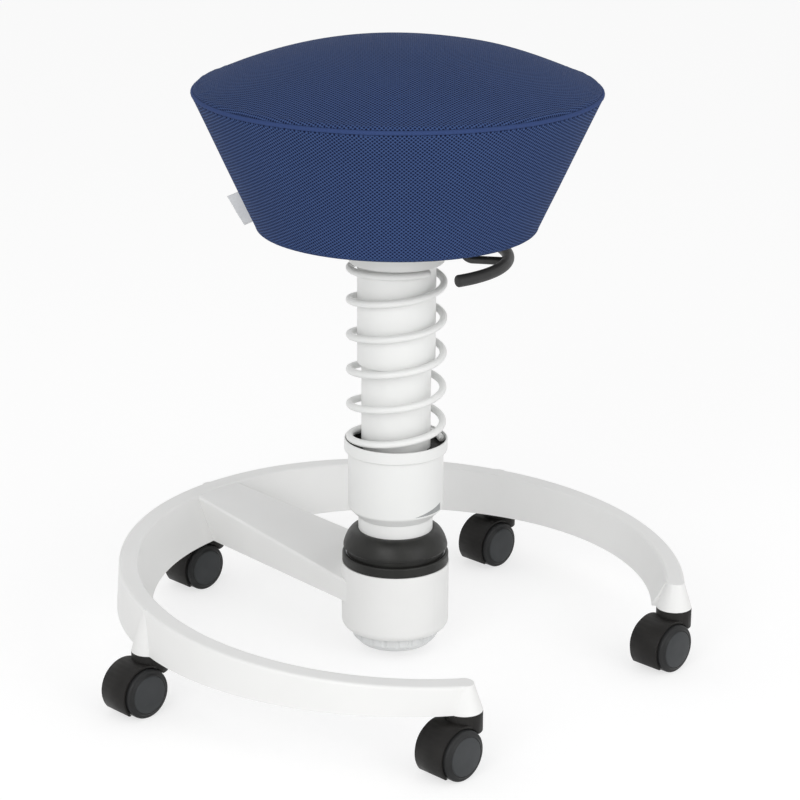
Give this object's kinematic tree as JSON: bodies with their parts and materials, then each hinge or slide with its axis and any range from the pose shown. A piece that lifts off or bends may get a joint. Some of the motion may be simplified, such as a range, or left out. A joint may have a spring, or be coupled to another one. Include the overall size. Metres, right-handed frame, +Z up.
{
  "type": "wobble stool",
  "caption": "Height-adjustable sprung tilting stool with a padded conical seat on an open C-shaped ring base with hooded twin-wheel casters.",
  "frame": {"origin": "on the column's axis at floor level", "axes": "+Z up; the ring's arm runs along -X and the ring opens towards +X"},
  "size_m": [0.5588, 0.6081, 0.6344],
  "materials": {
    "base_coat": "white powder coat on a casting, satin",
    "white_enamel": "white enamel, satin",
    "black_enamel": "black enamel, satin",
    "steel": "bare machined steel",
    "black_plastic": "near-black moulded nylon, fine grain",
    "wheel_plastic": "near-black moulded nylon, smooth tread",
    "bush_plastic": "natural acetal",
    "grip_plastic": "grey-black plastic grip, fine grain",
    "knob_plastic": "milky white plastic, semi-gloss",
    "boot_rubber": "black rubber, matt",
    "plywood": "plain birch plywood",
    "foam": "moulded foam, unseen",
    "mesh_fabric": "blue three-layer air mesh with small round pores",
    "piping_fabric": "blue woven piping",
    "tag_fabric": "pale grey woven strip, bare"
  },
  "bodies": {
    "base": {"base_frame": "base_coat", "caster_sockets": "black_plastic", "tilt_carrier": "steel", "boot_ring": "boot_rubber", "boot_bellows": "boot_rubber", "rubber_buffer": "boot_rubber"},
    "gimbal": {"gimbal_ring": "steel", "gimbal_pins": "steel"},
    "column": {"column_foot": "white_enamel", "lower_tube": "white_enamel", "boot_dome": "boot_rubber", "coil_spring": "white_enamel"},
    "cup": {"spring_cup": "white_enamel"},
    "spring_rest": {"spring_seat": "black_plastic"},
    "upper": {"upper_tube": "white_enamel", "top_collar": "white_enamel", "guide_tube": "steel", "guide_bushes": "bush_plastic"},
    "swivel": {"piston_rod": "steel", "thrust_bearing": "steel", "rod_clip": "steel"},
    "seat": {"gas_cylinder": "black_enamel", "seat_plate": "black_enamel", "seat_bottom_cover": "black_plastic", "seat_shell": "black_plastic", "seat_pan": "plywood", "seat_foam": "foam", "seat_cover_top": "mesh_fabric", "seat_cover_side": "mesh_fabric", "seat_piping": "piping_fabric", "seat_screws": "steel", "lever_pivot_pin": "steel", "cover_tag": "tag_fabric"},
    "lever": {"lever_rod": "black_enamel", "lever_grip": "grip_plastic"},
    "valve": {"valve_pin": "steel"},
    "knob": {"adjust_knob": "knob_plastic", "knob_clip": "steel"},
    "pressure": {"pressure_plate": "steel"},
    "caster_1": {"caster_1_hood": "black_plastic", "caster_1_stem_and_axle": "steel"},
    "caster_1_wheel_left": {"caster_1_wheel_left": "wheel_plastic"},
    "caster_1_wheel_right": {"caster_1_wheel_right": "wheel_plastic"},
    "caster_2": {"caster_2_hood": "black_plastic", "caster_2_stem_and_axle": "steel"},
    "caster_2_wheel_left": {"caster_2_wheel_left": "wheel_plastic"},
    "caster_2_wheel_right": {"caster_2_wheel_right": "wheel_plastic"},
    "caster_3": {"caster_3_hood": "black_plastic", "caster_3_stem_and_axle": "steel"},
    "caster_3_wheel_left": {"caster_3_wheel_left": "wheel_plastic"},
    "caster_3_wheel_right": {"caster_3_wheel_right": "wheel_plastic"},
    "caster_4": {"caster_4_hood": "black_plastic", "caster_4_stem_and_axle": "steel"},
    "caster_4_wheel_left": {"caster_4_wheel_left": "wheel_plastic"},
    "caster_4_wheel_right": {"caster_4_wheel_right": "wheel_plastic"},
    "caster_5": {"caster_5_hood": "black_plastic", "caster_5_stem_and_axle": "steel"},
    "caster_5_wheel_left": {"caster_5_wheel_left": "wheel_plastic"},
    "caster_5_wheel_right": {"caster_5_wheel_right": "wheel_plastic"}
  },
  "joints": [
    {"name": "tilt_x", "type": "hinge", "parent": "base", "child": "gimbal", "pos_m": [0, 0, 0.101], "axis": [1, 0, 0], "range_deg": [-4, 4], "stiffness_Nm_per_rad": 260},
    {"name": "tilt_y", "type": "hinge", "parent": "gimbal", "child": "column", "pos_m": [0, 0, 0.101], "axis": [0, 1, 0], "range_deg": [-4, 4], "stiffness_Nm_per_rad": 260},
    {"name": "cup_turn", "type": "hinge", "parent": "column", "child": "cup", "pos_m": [0, 0, 0.18], "axis": [0, 0, 1], "range_deg": [0, 300]},
    {"name": "spring_rest_lift", "type": "slide", "parent": "column", "child": "spring_rest", "axis": [0, 0, 1], "range_m": [0, 0.012], "deforming": ["coil_spring"]},
    {"name": "bounce", "type": "slide", "parent": "column", "child": "upper", "axis": [0, 0, 1], "range_m": [-0.045, 0], "stiffness_N_per_m": 16000, "springref_m": 0.012, "deforming": ["coil_spring"]},
    {"name": "seat_swivel", "type": "hinge", "parent": "upper", "child": "swivel", "pos_m": [0, 0, 0.21], "axis": [0, 0, 1], "continuous": true},
    {"name": "seat_height", "type": "slide", "parent": "swivel", "child": "seat", "axis": [0, 0, 1], "range_m": [0, 0.13]},
    {"name": "lever_lift", "type": "hinge", "parent": "seat", "child": "lever", "pos_m": [0.02726, 0.01677, 0.4895], "axis": [0.524, -0.8517, 0], "range_deg": [0, 4], "stiffness_Nm_per_rad": 2, "springref_deg": -5.73},
    {"name": "valve_press", "type": "slide", "parent": "seat", "child": "valve", "axis": [0, 0, 1], "range_m": [-0.0025, 0], "stiffness_N_per_m": 3000, "springref_m": 0.004},
    {"name": "knob_turn", "type": "hinge", "parent": "base", "child": "knob", "pos_m": [0, 0, 0.02], "axis": [0, 0, 1], "range_deg": [0, 720]},
    {"name": "pressure_lift", "type": "slide", "parent": "base", "child": "pressure", "axis": [0, 0, 1], "range_m": [0, 0.004], "deforming": ["rubber_buffer"]},
    {"name": "caster_1_swivel", "type": "hinge", "parent": "base", "child": "caster_1", "pos_m": [0.23314, 0.16576, 0.06], "axis": [0, 0, 1], "continuous": true},
    {"name": "caster_1_wheel_left_roll", "type": "hinge", "parent": "caster_1", "child": "caster_1_wheel_left", "pos_m": [0.21918, 0.14707, 0.025], "axis": [0.9981, -0.061, 0], "continuous": true},
    {"name": "caster_1_wheel_right_roll", "type": "hinge", "parent": "caster_1", "child": "caster_1_wheel_right", "pos_m": [0.24473, 0.14551, 0.025], "axis": [0.9981, -0.061, 0], "continuous": true},
    {"name": "caster_2_swivel", "type": "hinge", "parent": "base", "child": "caster_2", "pos_m": [-0.08214, 0.2682, 0.06], "axis": [0, 0, 1], "continuous": true},
    {"name": "caster_2_wheel_left_roll", "type": "hinge", "parent": "caster_2", "child": "caster_2_wheel_left", "pos_m": [-0.09611, 0.24952, 0.025], "axis": [0.9981, -0.061, 0], "continuous": true},
    {"name": "caster_2_wheel_right_roll", "type": "hinge", "parent": "caster_2", "child": "caster_2_wheel_right", "pos_m": [-0.07056, 0.24795, 0.025], "axis": [0.9981, -0.061, 0], "continuous": true},
    {"name": "caster_3_swivel", "type": "hinge", "parent": "base", "child": "caster_3", "pos_m": [-0.277, 0, 0.06], "axis": [0, 0, 1], "continuous": true},
    {"name": "caster_3_wheel_left_roll", "type": "hinge", "parent": "caster_3", "child": "caster_3_wheel_left", "pos_m": [-0.29097, -0.01868, 0.025], "axis": [0.9981, -0.061, 0], "continuous": true},
    {"name": "caster_3_wheel_right_roll", "type": "hinge", "parent": "caster_3", "child": "caster_3_wheel_right", "pos_m": [-0.26541, -0.02024, 0.025], "axis": [0.9981, -0.061, 0], "continuous": true},
    {"name": "caster_4_swivel", "type": "hinge", "parent": "base", "child": "caster_4", "pos_m": [-0.08214, -0.2682, 0.06], "axis": [0, 0, 1], "continuous": true},
    {"name": "caster_4_wheel_left_roll", "type": "hinge", "parent": "caster_4", "child": "caster_4_wheel_left", "pos_m": [-0.09611, -0.28688, 0.025], "axis": [0.9981, -0.061, 0], "continuous": true},
    {"name": "caster_4_wheel_right_roll", "type": "hinge", "parent": "caster_4", "child": "caster_4_wheel_right", "pos_m": [-0.07056, -0.28844, 0.025], "axis": [0.9981, -0.061, 0], "continuous": true},
    {"name": "caster_5_swivel", "type": "hinge", "parent": "base", "child": "caster_5", "pos_m": [0.23314, -0.16576, 0.06], "axis": [0, 0, 1], "continuous": true},
    {"name": "caster_5_wheel_left_roll", "type": "hinge", "parent": "caster_5", "child": "caster_5_wheel_left", "pos_m": [0.21918, -0.18444, 0.025], "axis": [0.9981, -0.061, 0], "continuous": true},
    {"name": "caster_5_wheel_right_roll", "type": "hinge", "parent": "caster_5", "child": "caster_5_wheel_right", "pos_m": [0.24473, -0.186, 0.025], "axis": [0.9981, -0.061, 0], "continuous": true}
  ],
  "couplings": [
    {"joint": "spring_rest_lift", "follows": "cup_turn", "m_per_rad": 0.00229},
    {"joint": "pressure_lift", "follows": "knob_turn", "m_per_rad": 0.000318}
  ]
}
